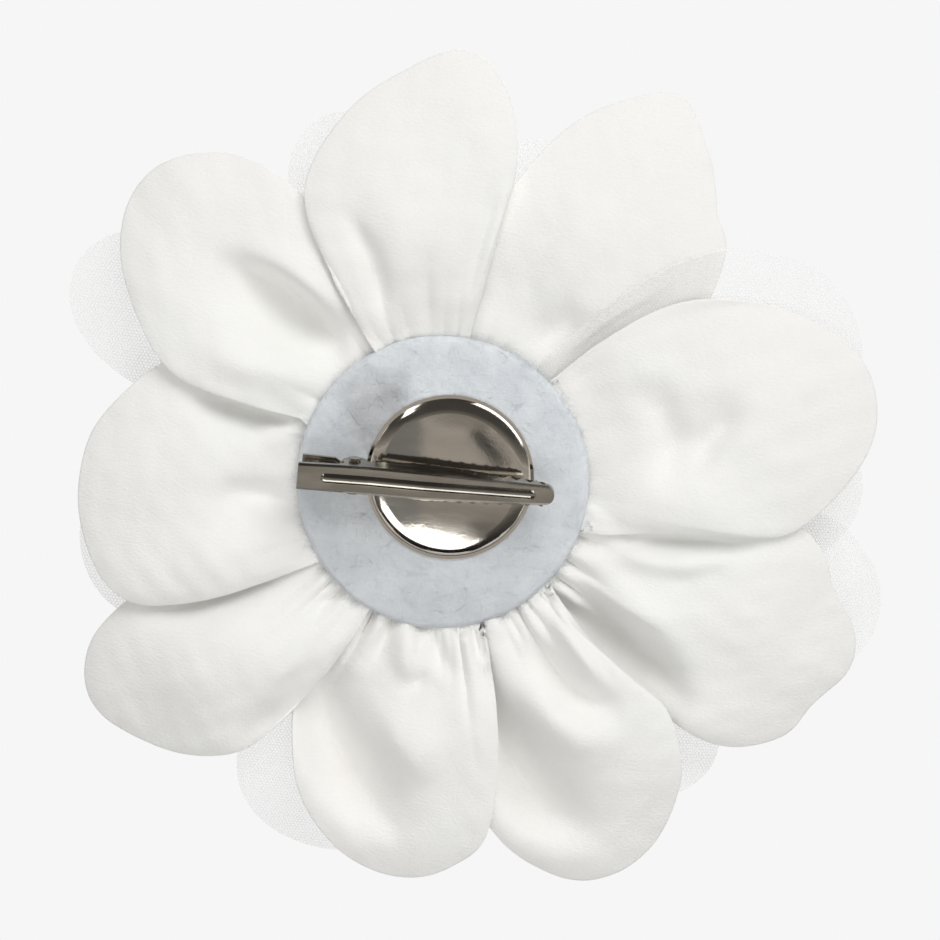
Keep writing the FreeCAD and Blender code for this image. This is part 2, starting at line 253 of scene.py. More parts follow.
def add_light():
    world = bpy.data.worlds.new("studio")
    bpy.context.scene.world = world
    world.use_nodes = True
    world.node_tree.nodes["Background"].inputs["Color"].default_value = (*WORLD_GREY, 1)
    world.node_tree.nodes["Background"].inputs["Strength"].default_value = 1.0
    add_softbox("key", (0.5, -1.6, 1.8), (1.5, 1.2), 28.5)
    add_softbox("fill", (0.1, -1.5, -0.6), (1.4, 1.0), 5.2)
    add_softbox("front", (0.2, 1.0, 0.6), (1.2, 1.0), 9.0)
    add_room()
    add_cards()
    bpy.context.scene.view_settings.view_transform = "Standard"
    bpy.context.scene.view_settings.look = "None"


# ---------- material helpers
class Nodes:
    """Short way to build a material round its shader."""

    def __init__(self, material, shader="Principled BSDF"):
        self.material = material
        self.tree = material.node_tree
        self.shader = self.tree.nodes[shader]

    def fill(self, node, inputs):
        """Link the values that are sockets to a node's inputs, and write in the plain ones."""
        for key, value in inputs.items():
            if isinstance(value, bpy.types.NodeSocket):
                self.tree.links.new(value, node.inputs[key])
            else:
                node.inputs[key].default_value = value

    def feed(self, socket, value):
        self.fill(self.shader, {socket: value})

    def node(self, kind, inputs=None, **settings):
        node = self.tree.nodes.new("ShaderNode" + kind)
        for key, value in settings.items():
            setattr(node, key, value)
        self.fill(node, inputs or {})
        return node

    def math(self, operation, a, b=0.0, c=0.0):
        return self.node("Math", {0: a, 1: b, 2: c}, operation=operation).outputs[0]

    def vector(self, operation, a, b=(0, 0, 0)):
        return self.node("VectorMath", {0: a, 1: b}, operation=operation).outputs[0]

    def measure(self, operation, a, b):
        return self.node("VectorMath", {0: a, 1: b}, operation=operation).outputs["Value"]

    def noise(self, where, scale, detail=3.0, roughness=0.5):
        inputs = {"Vector": where, "Scale": scale, "Detail": detail, "Roughness": roughness}
        return self.node("TexNoise", inputs).outputs["Fac"]

    def stretch(self, where, scale):
        return self.node("Mapping", {"Vector": where, "Scale": scale}).outputs[0]

    def mix(self, factor, a, b):
        """Mix of two colours, each a plain one or a socket."""
        a, b = ((*colour, 1) if isinstance(colour, tuple) else colour for colour in (a, b))
        return self.node("Mix", {"Factor": factor, 6: a, 7: b}, data_type="RGBA").outputs[2]

    def ramp(self, value, low, high, to_low=0.0, to_high=1.0):
        inputs = {"Value": value, 1: low, 2: high, 3: to_low, 4: to_high}
        return self.node("MapRange", inputs).outputs[0]

    def bump(self, height, strength, distance):
        inputs = {"Height": height, "Strength": strength, "Distance": distance}
        self.feed("Normal", self.node("Bump", inputs).outputs[0])

    def place(self):
        """Position in the frame, in metres."""
        return self.node("TexCoord").outputs["Object"]

    def cloth(self):
        """Position on the flat cut, one unit to CLOTH_UNIT millimetres."""
        return self.node("UVMap", uv_map="cloth").outputs[0]


CLOTH_UNIT = 10.0


def surface(name, colour, roughness, metallic=0.0):
    material = bpy.data.materials.new(name)
    material.use_nodes = True
    m = Nodes(material)
    m.feed("Base Color", (*colour, 1))
    m.feed("Roughness", roughness)
    m.feed("Metallic", metallic)
    return m


def chiffon():
    """Off-white crepe chiffon: uneven horizontal crinkle over a fine plain weave."""
    m = surface("chiffon_cloth", (0.93, 0.925, 0.905), 0.82)
    cloth = m.cloth()
    waves = {"Vector": cloth, "Scale": 9.0, "Distortion": 2.0, "Detail": 1.0, "Detail Scale": 2.0}
    warp = m.node("TexWave", waves, bands_direction="X").outputs["Fac"]
    weft = m.node("TexWave", waves, bands_direction="Y").outputs["Fac"]
    weave = m.math("MULTIPLY", warp, weft)
    crepe = m.noise(m.stretch(cloth, (15.0, 26.0, 1.0)), 1.0, 2.0, 0.5)
    crinkle = m.noise(m.stretch(cloth, (4.0, 7.0, 1.0)), 1.0, 3.0, 0.6)
    height = m.math("ADD", m.math("MULTIPLY", weave, 0.12), m.math("MULTIPLY", crepe, 0.9))
    height = m.math("ADD", height, m.math("MULTIPLY", crinkle, 0.5))
    m.bump(height, 0.37, 0.0003)
    tone = m.noise(cloth, 0.35, 2.0)
    m.feed("Base Color", m.mix(m.ramp(tone, 0.35, 0.65), (0.935, 0.918, 0.890), (0.935, 0.935, 0.905)))
    m.feed("Roughness", m.ramp(crepe, 0.2, 0.8, 0.74, 0.9))
    m.feed("Sheen Weight", 0.2)
    m.feed("Sheen Roughness", 0.5)
    m.feed("Specular IOR Level", 0.2)
    return m.material


NET_CELL = 0.54 / CLOTH_UNIT      # width of a cell of the net
NET_THREAD = 0.15                 # thread width as a share of a cell


def net():
    """Fine hexagonal bobbin net: threads with clear holes between them."""
    m = surface("net_cloth", (0.93, 0.93, 0.925), 0.6)
    scaled = {0: m.cloth(), "Scale": 1 / NET_CELL}
    cloth = m.node("VectorMath", scaled, operation="SCALE").outputs[0]
    row = (1.0, math.sqrt(3.0), 1.0)
    half = (0.5, math.sqrt(3.0) / 2, 0.0)
    edges = []
    for start in (cloth, m.vector("ADD", cloth, half)):
        centre = m.vector("SUBTRACT", m.vector("WRAP", start, row), half)
        spread = m.vector("ABSOLUTE", centre)
        slant = m.measure("DOT_PRODUCT", spread, half)
        across = m.node("SeparateXYZ", {0: spread}).outputs[0]
        edges.append(m.math("MAXIMUM", slant, across))
    nearest = m.math("MINIMUM", *edges)
    thread = m.ramp(nearest, 0.5 - NET_THREAD / 2 - 0.05, 0.5 - NET_THREAD / 2 + 0.03)
    m.feed("Alpha", m.math("MULTIPLY_ADD", thread, 0.42, 0.26))
    m.feed("Specular IOR Level", 0.3)
    m.feed("Sheen Weight", 0.2)
    return m.material


PAINTED_SHADE_CENTRE = (-0.0122, 0.0055, 0.009)      # painted shade: the felt is painted greyer here, beside the plate, for the shadow the plate casts
PAINTED_SHADE_REACH = 0.011


def felt():
    """Pale blue-grey pressed felt with a mottle of lighter fibres; painted shade makes it greyer beside
    the plate above the hinge and darker towards the bottom.
    """
    m = surface("felt_wool", (0.78, 0.82, 0.85), 0.95)
    place = m.place()
    cloud = m.noise(place, 160.0, 4.0, 0.6)
    fibre = m.noise(m.stretch(place, (900.0, 900.0, 2600.0)), 1.0, 4.0, 0.7)
    cross = m.noise(m.stretch(place, (2600.0, 900.0, 900.0)), 1.0, 4.0, 0.7)
    lay = m.math("ADD", m.math("MULTIPLY", fibre, 0.5), m.math("MULTIPLY", cross, 0.5))
    shade = m.math("ADD", m.math("MULTIPLY", cloud, 0.6), m.math("MULTIPLY", lay, 0.4))
    wool = m.mix(m.ramp(shade, 0.36, 0.62), (0.66, 0.70, 0.735), (0.82, 0.85, 0.87))
    # painted shade: a darker grey copy of the felt's colour, mixed in where the shade is painted
    shaded_wool = m.mix(m.ramp(shade, 0.36, 0.62), (0.41, 0.42, 0.435), (0.55, 0.555, 0.565))
    # painted shade: a grey patch round this centre, beside the plate
    away = m.measure("DISTANCE", place, PAINTED_SHADE_CENTRE)
    edge = m.math("MULTIPLY_ADD", cloud, 0.006, away)
    # painted shade: the felt is darker towards the bottom
    low = m.ramp(m.node("SeparateXYZ", {0: place}).outputs[2], 0.006, -0.02, 0.0, 0.42)
    painted_shade = m.math("MAXIMUM", m.ramp(edge, PAINTED_SHADE_REACH, 0.006, 0.0, 0.9), low)
    m.feed("Base Color", m.mix(painted_shade, wool, shaded_wool))
    m.bump(m.math("ADD", lay, m.math("MULTIPLY", cloud, 0.8)), 0.65, 0.0003)
    m.feed("Sheen Weight", 0.35)
    m.feed("Specular IOR Level", 0.1)
    return m.material


def nickel(name, colour, roughness, grain=(60.0, 900.0, 900.0), warp=0.0, streak=0.93):
    """Bright nickel plate with a faint drawn grain, fine pits and smears; warp is the height in
    metres of the long shallow waves that pressing leaves, streak how dark the dull marks are."""
    m = surface(name, colour, roughness, 1.0)
    place = m.place()
    drawn = m.noise(m.stretch(place, grain), 1.0, 3.0, 0.6)
    pits = m.noise(place, 2600.0, 2.0, 0.5)
    smear = m.noise(m.stretch(place, (110.0, 420.0, 420.0)), 1.0, 3.0, 0.5)
    m.feed("Roughness", m.ramp(smear, 0.3, 0.7, roughness * 0.75, roughness * 1.5))
    m.feed("Base Color", m.mix(m.ramp(smear, 0.35, 0.65), tuple(c * streak for c in colour), colour))
    fine = m.math("ADD", m.math("MULTIPLY", drawn, 0.7), m.math("MULTIPLY", pits, 0.3))
    wave = m.noise(m.stretch(place, (80.0, 300.0, 300.0)), 1.0, 0.0, 0.4)
    m.bump(m.math("ADD", m.math("MULTIPLY", fine, 0.000012), m.math("MULTIPLY", wave, warp)), 1.0, 1.0)
    return m.material


def wire_steel():
    m = surface("spring_steel", (0.42, 0.41, 0.40), 0.3, 1.0)
    mark = m.noise(m.stretch(m.place(), (4000.0, 4000.0, 600.0)), 1.0, 2.0)
    m.feed("Roughness", m.ramp(mark, 0.3, 0.7, 0.22, 0.42))
    m.bump(mark, 0.15, 0.0001)
    return m.material


def solder():
    m = surface("solder_metal", (0.60, 0.59, 0.57), 0.35, 1.0)
    lump = m.noise(m.place(), 900.0, 3.0)
    m.feed("Roughness", m.ramp(lump, 0.3, 0.7, 0.28, 0.5))
    m.bump(lump, 0.5, 0.0003)
    return m.material


def buckram():
    """Stiff open-weave backing cloth."""
    m = surface("buckram_cloth", (0.86, 0.85, 0.82), 0.9)
    threads = {"Vector": m.place(), "Scale": 320.0, "Distortion": 0.6}
    warp = m.node("TexWave", threads, bands_direction="X").outputs["Fac"]
    weft = m.node("TexWave", threads, bands_direction="Z").outputs["Fac"]
    weave = m.math("MAXIMUM", warp, weft)
    m.feed("Base Color", m.mix(weave, (0.74, 0.73, 0.70), (0.90, 0.89, 0.86)))
    m.bump(weave, 0.5, 0.0003)
    return m.material


# ---------- cloth shapes
PETAL_TURN = 0.9         # turn of the whole flower on its clip, in degrees


def plan(azimuth, radius):
    """Plan point at an azimuth in degrees and a radius in millimetres."""
    angle = np.radians(np.asarray(azimuth, float) + PETAL_TURN)
    return np.stack([radius * np.cos(angle), radius * np.sin(angle)], axis=-1)


def smooth_line(points, count):
    """Evenly spaced points on a smooth line through the given ones."""
    points = np.asarray(points, float)
    padded = np.vstack([2 * points[0] - points[1], points, 2 * points[-1] - points[-2]])
    t = np.linspace(0, 1, 12, endpoint=False)[:, None]
    pieces = []
    for a, b, c, d in zip(padded, padded[1:], padded[2:], padded[3:]):
        bend = 2 * b + (c - a) * t + (2 * a - 5 * b + 4 * c - d) * t**2 + (3 * b - a - 3 * c + d) * t**3
        pieces.append(bend / 2)
    fine = np.vstack(pieces + [points[-1:]])
    along = np.concatenate([[0], np.cumsum(np.linalg.norm(np.diff(fine, axis=0), axis=1))])
    even = np.linspace(0, along[-1], count)
    return np.stack([np.interp(even, along, fine[:, k]) for k in (0, 1)], axis=1)


def smooth_step(value, low, high):
    t = np.clip((value - low) / (high - low), 0, 1)
    return t * t * (3 - 2 * t)


class Fan:
    """Cloth gathered on a short root arc and spread out to its outline.

    Each column runs from the root to the outline, as the threads of a gathered petal do, and the rows
    crowd together towards the rim, where the turned edge is.
    """

    def __init__(self, outline, root_radius, root_span, rows, columns):
        rim = smooth_line(outline, columns)
        start, end = root_span
        root = plan(np.linspace(start, end, columns), root_radius)
        share = 1 - (1 - np.linspace(0, 1, rows)) ** 1.6
        self.v = np.ones(rows)[:, None] * np.linspace(0, 1, columns)
        self.plan = root + (rim - root) * share[:, None, None]
        self.rim_gap = (1 - share[:, None]) * np.linalg.norm(rim - root, axis=1)
        self.radius = np.linalg.norm(self.plan, axis=2)
        self.middle = (start + end) / 2
        angle = np.arctan2(self.plan[..., 1], self.plan[..., 0]) - math.radians(self.middle)
        angle = np.degrees((angle + np.pi) % (2 * np.pi) - np.pi)
        self.side = angle / np.abs(angle).max()


def fold(where, path, widths, depth, ends=(0.45, 0.4)):
    """Crease along a path of (azimuth, radius) points. Positive depth goes away from the hair.

    widths are its reach towards lower and towards higher azimuths, so that one wall can be steeper;
    ends are the shares of the path over which it fades in and out."""
    line = smooth_line([plan(a, r) for a, r in path], 24)
    start, step = line[:-1], np.diff(line, axis=0)
    offset = where[..., None, :] - start
    share = np.clip((offset * step).sum(axis=-1) / (step**2).sum(axis=-1), 0, 1)
    distance = np.linalg.norm(offset - share[..., None] * step, axis=-1)
    nearest = distance.argmin(axis=-1)[..., None]
    along = (nearest + np.take_along_axis(share, nearest, -1))[..., 0] / len(step)
    # Which side of the crease a point is on is judged along the nearest step of the path.
    outward = np.sign((start * step).sum() + 1e-6)
    ahead = step[nearest[..., 0]]
    beside = np.take_along_axis(offset, nearest[..., None], -2)[..., 0, :]
    turn = ahead[..., 0] * beside[..., 1] - ahead[..., 1] * beside[..., 0]
    gap = distance.min(axis=-1) * np.sign(turn) * outward
    narrow, broad = widths
    blend = smooth_step(gap, -0.6, 0.6)
    wide = narrow + (broad - narrow) * blend
    fade = smooth_step(along, -0.02, ends[0]) * smooth_step(1 - along, -0.02, ends[1])
    return depth * fade * np.exp(-((gap / wide) ** 2))


def waves(seed, where, length, count=7):
    """Smooth random relief of about that wavelength, from -1 to 1."""
    rng = np.random.default_rng(seed)
    total = np.zeros(where.shape[:-1])
    for _ in range(count):
        turn, phase = rng.uniform(0, 2 * np.pi, 2)
        pace = 2 * np.pi / (length * rng.uniform(0.75, 1.4))
        total += np.sin(pace * (where[..., 0] * np.cos(turn) + where[..., 1] * np.sin(turn)) + phase)
    return total / math.sqrt(count * 2)


def pleats(seed, fan, count, height, reach):
    """Gathers that run out from the root: round ridges with tight creases, fading over reach."""
    rng = np.random.default_rng(seed)
    across = (fan.side + 1) / 2
    warped = across + 0.3 / count * np.sin(2 * np.pi * (across * rng.uniform(1, 2) + rng.uniform()))
    phase = np.pi * (count * warped + rng.uniform())
    ridge = np.sqrt(np.sin(phase) ** 2 + 0.02)
    slow = 0.75 + 0.25 * np.sin(2 * np.pi * (across * 1.7 + rng.uniform()))
    far = np.clip(fan.radius - 20.0, 0, None)
    reach = reach * (0.75 + 0.5 * np.sin(phase * 0.5 + rng.uniform(0, 6)) ** 2)
    return height * (0.65 - 1.3 * ridge) * slow * np.exp(-((far / reach) ** 1.4))


def normals(points):
    across = np.gradient(points, axis=1)
    along = np.gradient(points, axis=0)
    normal = np.cross(across, along)
    length = np.linalg.norm(normal, axis=2, keepdims=True)
    return normal / np.maximum(length, 1e-9)


def grid_faces(rows, columns, base=0, flip=False):
    a = base + (np.arange(rows - 1)[:, None] * columns + np.arange(columns - 1)).ravel()
    quads = np.stack([a, a + 1, a + columns + 1, a + columns], axis=1)
    return quads[:, ::-1] if flip else quads


CELL = 0.6               # cell of the height maps
MAP_REACH = 90.0
AIR = 0.18               # least room left between two cloths


def refine(grid, times=5):
    """The same grid of points with more of them between."""
    for axis in (0, 1):
        count = grid.shape[axis]
        at = np.linspace(0, count - 1, (count - 1) * times + 1)
        low = np.minimum(at.astype(int), count - 2)
        share = (at - low).reshape((-1, 1, 1) if axis == 0 else (1, -1, 1))
        grid = np.take(grid, low, axis) * (1 - share) + np.take(grid, low + 1, axis) * share
    return grid


def neighbours(field):
    wide = np.pad(field, 1, mode="edge")
    return np.stack([wide[:-2, 1:-1], wide[2:, 1:-1], wide[1:-1, :-2], wide[1:-1, 2:], field])


class HeightMap:
    """How far the cloth laid so far reaches towards the hair (side -1) or away from it (side 1)."""

    def __init__(self, side):
        self.side = side
        count = int(2 * MAP_REACH / CELL)
        self.level = np.full((count, count), -1e3)

    def cells(self, where):
        index = ((where + MAP_REACH) / CELL).astype(int)
        return index[..., 0], index[..., 1]

    def add(self, fan, depth, half):
        reach = self.side * refine(depth[..., None])[..., 0] + half
        np.maximum.at(self.level, self.cells(refine(fan.plan)), reach)

    def clear(self, fan, depth, half):
        """The depth, eased off wherever it would run into cloth already laid."""
        level = neighbours(self.level).max(axis=0)[self.cells(fan.plan)]
        for _ in range(4):
            short = np.clip(level + half + AIR - self.side * depth, 0, None)
            short = neighbours(neighbours(short).max(axis=0)).max(axis=0)
            for _ in range(4):
                short = neighbours(short).mean(axis=0)
            depth = depth + self.side * short
        return depth


HAIR_SIDE, FAR_SIDE = HeightMap(-1), HeightMap(1)
CLOTH = 0.50             # thickness of a lined petal
HEM_WIDTH = 2.6          # the seam allowance inside the turned edge
HEM_SWELL = 0.10         # how much thicker the allowance makes the cloth
LINING_SHIFT = 40.0      # the lining is cut from another part of the cloth


def closed_faces(rows, columns, far_rows):
    """Faces of a cloth of two layers, closed all round. The far layer may lack the last row, and the
    near one's rim is then the edge of both."""
    count = rows * columns
    last_near, last_far = (rows - 1) * columns, count + (far_rows - 1) * columns
    i, j = np.arange(far_rows - 1) * columns, np.arange(columns - 1)
    walls = np.stack([i, i + columns, i + columns + count, i + count], 1)
    groups = [
        grid_faces(rows, columns),
        grid_faces(far_rows, columns, count, True),
        np.stack([last_near + j + 1, last_far + j + 1, last_far + j, last_near + j], 1),
        np.stack([j, count + j, count + j + 1, j + 1], 1),
        walls,
        walls[:, ::-1] + columns - 1,
    ]
    if far_rows < rows:
        tip = np.array([[(far_rows - 1) * columns, last_near, last_far]])
        groups += [tip[:, ::-1], tip + columns - 1]
    return [face for group in groups for face in group.tolist()]


def lined_cloth(fan, points):
    """Vertices, faces and flat places of two layers turned out along their rim."""
    normal = normals(points)
    gap = fan.rim_gap
    hem = 1 + HEM_SWELL * (1 - smooth_step(gap, HEM_WIDTH - 0.5, HEM_WIDTH + 0.9))
    half = CLOTH / 2 * hem
    round_off = np.clip(gap / (half * 1.1), 0, 1)
    half = half * np.sqrt(1 - (1 - round_off) ** 2)
    near = points - normal * half[..., None]
    far = (points + normal * half[..., None])[:-1]
    vertices = np.concatenate([near.reshape(-1, 3), far.reshape(-1, 3)])
    flat = np.concatenate([fan.plan.reshape(-1, 2), fan.plan[:-1].reshape(-1, 2) + LINING_SHIFT])
    rows, columns = gap.shape
    return vertices, closed_faces(rows, columns, rows - 1), flat


def single_cloth(fan, points):
    """Vertices, faces and flat places of one layer, as net is used."""
    return points.reshape(-1, 3), grid_faces(*fan.radius.shape).tolist(), fan.plan.reshape(-1, 2)


def cloth_object(name, vertices, faces, flat, material):
    obj = add_mesh(name, ((vertices + AXIS) * MM).tolist(), faces)
    mesh = obj.data
    mesh.polygons.foreach_set("use_smooth", np.ones(len(mesh.polygons), bool))
    layer = mesh.uv_layers.new(name="cloth")
    corner = np.empty(len(mesh.loops), np.int32)
    mesh.loops.foreach_get("vertex_index", corner)
    layer.data.foreach_set("uv", (flat / CLOTH_UNIT)[corner].astype(np.float32).ravel())
    mesh.materials.append(material)
    return obj


def lay_petal(node, fan, depth, material, lined, maps):
    """Put a petal in the place of its CAD node, and note in the height maps where it lies."""
    for heights in maps:
        heights.add(fan, depth, CLOTH / 2 if lined else 0)
    points = np.stack([fan.plan[..., 0], depth, fan.plan[..., 1]], axis=2)
    cloth = lined_cloth(fan, points) if lined else single_cloth(fan, points)
    obj = cloth_object("cloth_" + node, *cloth, material)
    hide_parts(node)
    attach(obj, FLOWER)


# ---------- back petals
BACK_ROOT = 16.0         # radius where the back petals are stitched down
INSIDE_FELT_Y = FELT_HIGH[1] / MM - 0.2      # the gathers come no nearer to the hair under the felt
PINCHED = 0.12           # room that each layer keeps there
FELT_EDGE = (23.2, 26)   # radii between which the gathers come free of the felt
LET_GO = 5.0             # how much nearer to the hair they may lie once they are free

BackPetal = namedtuple("BackPetal", "outline lifts roll gathers folds")

# Outlines are (azimuth, radius) points, and the roll turns the rim away from the hair.
# Lifts bring its edges of lower and of higher azimuth nearer to the hair. Gathers are (count, height,
# reach).
# Folds are (path, widths, depth) with positive depths for valleys and negative ones for ridges.
BACK_PETALS = [
    BackPetal(
        [(86, 19), (82.5, 40), (82, 53), (86, 63), (92, 67.3), (100, 64.3), (109, 59.6),
         (119, 51), (121.5, 38), (121, 19)],
        (1.7, 1.3), 1.3, (5, 0.5, 8.0),
        [
            ([(114, 47), (111.8, 39), (111.8, 33), (113, 26)], (1.7, 1.5), 2.4),
            ([(84, 50), (85, 42), (86.5, 34), (87, 28)], (1.0, 2.0), 0.8),
            ([(99, 22), (99, 31), (98, 38)], (1.2, 1.8), 0.8),
            ([(104, 24), (105, 36), (103, 50)], (4.0, 4.0), -0.9),
        ],
    ),
    BackPetal(
        [(38, 19), (37, 36), (38.5, 48), (44, 56.5), (49, 59.3), (52, 62), (56, 65.5), (62.5, 69.8),
         (68, 66.5), (75, 58.8), (81, 48), (86, 36), (87, 19)],
        (-1.0, -1.6), 1.3, (5, 0.5, 8.0),
        [
            ([(64, 23), (59, 29), (54, 36)], (2.4, 3.0), 1.4),
            ([(75, 24), (73, 36), (70, 50)], (3.0, 3.0), 0.8),
            ([(69, 28), (66, 42), (62, 55)], (5.0, 5.0), -0.8),
            ([(47, 22), (46, 36), (45, 52)], (3.4, 3.6), 1.5),
        ],
    ),
    BackPetal(
        [(-18, 19), (-13, 27), (-8, 35), (-5.5, 45), (-4.2, 54), (1.5, 60.5), (8, 66), (14, 68.2),
         (21, 67.3), (29, 61.8), (36.5, 54.5), (43, 46), (47, 34), (49, 19)],
        (1.0, 0.2), 1.4, (6, 0.35, 6.5),
        [
            ([(32, 31), (26, 35), (19, 36), (9, 35), (0, 35)], (2.4, 3.2), 2.4),
            ([(21, 50), (16, 44), (10, 40), (4, 39)], (2.0, 4.2), 2.6),
            ([(-4, 27), (-1, 36), (4, 47)], (3.5, 4.5), -0.9),
            ([(16, 50), (20, 58), (22, 62)], (6.0, 6.0), -0.8),
        ],
    ),
    BackPetal(
        [(-50, 19), (-46, 38), (-43, 52), (-40, 62), (-34, 68), (-28, 68.8), (-22, 71),
         (-17, 69), (-12, 63.5), (-7, 60.3), (-2, 54), (0, 42), (-4, 28), (-10, 19)],
        (-1.3, -1.3), 1.8, (7, 2.8, 8.0),
        [
            ([(-35, 22), (-40.5, 31), (-40, 38), (-39, 45), (-40, 50), (-42, 56)], (5.0, 3.6), 7.4),
            ([(-26, 23), (-29.5, 28), (-29.5, 34), (-29, 40), (-31, 46)], (1.4, 2.8), -1.6),
            ([(-35, 23), (-38.5, 27), (-38.5, 32)], (0.9, 0.9), -1.2),
            ([(-25, 23), (-18, 30), (-15.5, 37), (-10, 47)], (2.0, 1.3), -1.5),
            ([(-14, 27), (-10.5, 35), (-8, 44), (-7, 53)], (1.5, 2.4), 2.0),
            ([(-20, 44), (-19, 54), (-19, 62)], (7.0, 7.0), -1.0),
        ],
    ),
    BackPetal(
        [(-87, 19), (-84, 36), (-81, 50), (-77.5, 58), (-73.5, 64), (-68, 69), (-62, 70),
         (-56, 67.8), (-50, 63), (-45.5, 58), (-41.5, 50), (-42.5, 42), (-43, 33), (-40, 24), (-38, 19)],
        (-1.5, 1.5), 1.8, (7, 3.2, 8.0),
        [
            ([(-77, 28), (-75.5, 38), (-73, 47), (-69, 56), (-60, 63.5)], (3.6, 6.4), 8.4),
            ([(-62, 33), (-58, 43), (-53, 53)], (4.2, 5.0), -2.3),
            ([(-57, 26), (-56, 35), (-53, 41), (-46, 46)], (2.6, 2.6), 5.6),
            ([(-44, 25), (-46, 33), (-46.5, 41)], (1.4, 1.2), -1.7),
            ([(-63, 21), (-64, 27)], (1.1, 1.4), -1.2),
            ([(-60, 21), (-59, 29)], (0.7, 1.0), 1.7),
        ],
    ),
    BackPetal(
        [(-116, 19), (-117, 30), (-119.5, 40), (-115, 48), (-109, 56), (-102, 61.8), (-96, 64.6),
         (-90, 65), (-84.5, 62.8), (-79, 58), (-75, 47), (-72, 35), (-68, 19)],
        (-1.5, 1.5), 1.2, (7, 3.2, 8.0),
        [
            ([(-118.5, 27), (-117, 36), (-110, 44.5), (-100, 52), (-89, 58.5)], (3.6, 6.2), 8.8),
            ([(-98, 35), (-93, 42), (-87, 48)], (3.6, 4.0), -1.8),
            ([(-97, 22), (-96, 28), (-94, 33)], (2.4, 2.0), -2.6),
            ([(-88, 22), (-87, 27), (-84, 32)], (0.9, 1.7), 2.9),
            ([(-93.5, 34), (-89.5, 30)], (1.2, 1.2), 1.0),
            ([(-78, 21), (-79, 27), (-79, 31)], (1.4, 1.5), -1.3),
            ([(-74, 23), (-73, 30)], (0.8, 0.8), 1.3),
        ],
    ),
    BackPetal(
        [(-152, 19), (-155, 36), (-154, 50), (-150.5, 59.5), (-146, 64.7), (-141, 66.8),
         (-135.5, 65.2), (-128, 60.8), (-121.5, 54), (-118, 45), (-115.5, 32), (-114, 19)],
        (-1.7, 1.5), 2.8, (6, 1.6, 7.0),
        [
            ([(-143, 27), (-147, 36), (-150, 45), (-153, 52)], (3.4, 3.0), 3.8),
            ([(-137, 28), (-136, 42), (-136, 60)], (7.0, 7.0), -2.6),
            ([(-125, 22), (-129, 27), (-131, 30)], (1.2, 1.0), 1.7),
            ([(-119, 30), (-119.5, 44), (-123, 55)], (3.4, 3.4), 3.4),
        ],
    ),
    BackPetal(
        [(158, 19), (153, 30), (155, 40), (162, 47), (170, 51.5), (178, 55.2), (187, 56.8),
         (195, 56.7), (202, 55.3), (207, 51.6), (210.5, 44), (214, 33), (221, 19)],
        (-1.5, 1.6), 2.4, (6, 0.8, 6.0),
        [
            ([(203, 22), (195, 25), (190, 29), (186, 36)], (2.6, 2.6), 3.0),
            ([(203, 24), (203, 34), (201, 44)], (4.0, 4.0), -1.3),
            ([(182, 24), (180, 34), (178, 44)], (6.0, 5.0), -1.2),
            ([(165, 43), (165, 37), (165, 30), (165, 24)], (3.4, 2.6), 3.6),
            ([(171, 31), (168, 27.5), (167, 23)], (0.9, 2.6), -1.4),
        ],
    ),
    BackPetal(
        [(121, 19), (118, 34), (119, 46), (122.5, 54), (127, 60), (132.5, 64), (138, 65.7),
         (144, 64.5), (150, 60.3), (156, 53.5), (161, 47), (162.5, 41), (159.5, 36), (157.5, 30),
         (160, 25), (166, 19)],
        (-1.0, 1.2), 1.6, (5, 0.8, 6.0),
        [
            ([(141, 51), (137.5, 43), (134, 35.5), (133.5, 29), (137, 23)], (3.0, 5.4), 8.8),
            ([(134, 48), (130, 42), (127.5, 34), (130.5, 26)], (2.6, 1.2), -1.5),
            ([(129, 44), (127, 36), (129, 28)], (3.0, 2.4), -1.6),
            ([(155, 44), (152, 36), (149, 30), (152, 24)], (3.0, 3.0), -1.9),
        ],
    ),
]

BACK_ORDER = (2, 4, 3, 5, 6, 7, 8, 9, 1)      # each lies on those before it
BACK_BELLY = 2.6         # how far a back petal bulges towards the hair from its root
BACK_BELLY_RADIUS = 40.0
BACK_DROOP = 7.0         # how far its tip then turns away
RIM_REACH = 6.5          # width of the rolled band along its rim
ROOT_AWAY = 0.9          # how far from the hair it starts
ROOT_BACK = 1.6          # and how far it comes back as it leaves the stitches
CRINKLES = (0.35, 17.0), (0.09, 4.5)     # height and length of its small random waves


def back_depth(petal, fan, seed):
    """Depth of a back petal: belly, rolled rim, overlap, gathers, folds and crinkle."""
    out = smooth_step(fan.radius, 20.0, BACK_BELLY_RADIUS)
    tail = np.clip((fan.radius - BACK_BELLY_RADIUS) / 30.0, 0, None)
    depth = ROOT_Y + ROOT_AWAY - ROOT_BACK * smooth_step(fan.radius, 17, 26) - BACK_BELLY * out
    depth = depth + BACK_DROOP * tail**1.8
    depth += petal.roll * np.exp(-fan.rim_gap / RIM_REACH) * smooth_step(fan.radius, 20, 34)
    low, high = petal.lifts
    share = smooth_step(fan.side, -1, 1)
    depth -= (low + (high - low) * share) * smooth_step(fan.radius, 19, 31)
    depth += pleats(seed, fan, *petal.gathers) * (1 - smooth_step(abs(fan.side), 0.7, 0.98))
    for path, widths, deep in petal.folds:
        depth += fold(fan.plan, path, widths, deep)
    calm = smooth_step(fan.radius, 18, 30)
    for number, (height, length) in enumerate(CRINKLES, 1):
        depth += height * waves(seed + number, fan.plan, length) * calm
    return depth


def back_fan(petal, rows, columns):
    outline = [plan(a, r) for a, r in petal.outline]
    return Fan(outline, BACK_ROOT, (petal.outline[0][0], petal.outline[-1][0]), rows, columns)


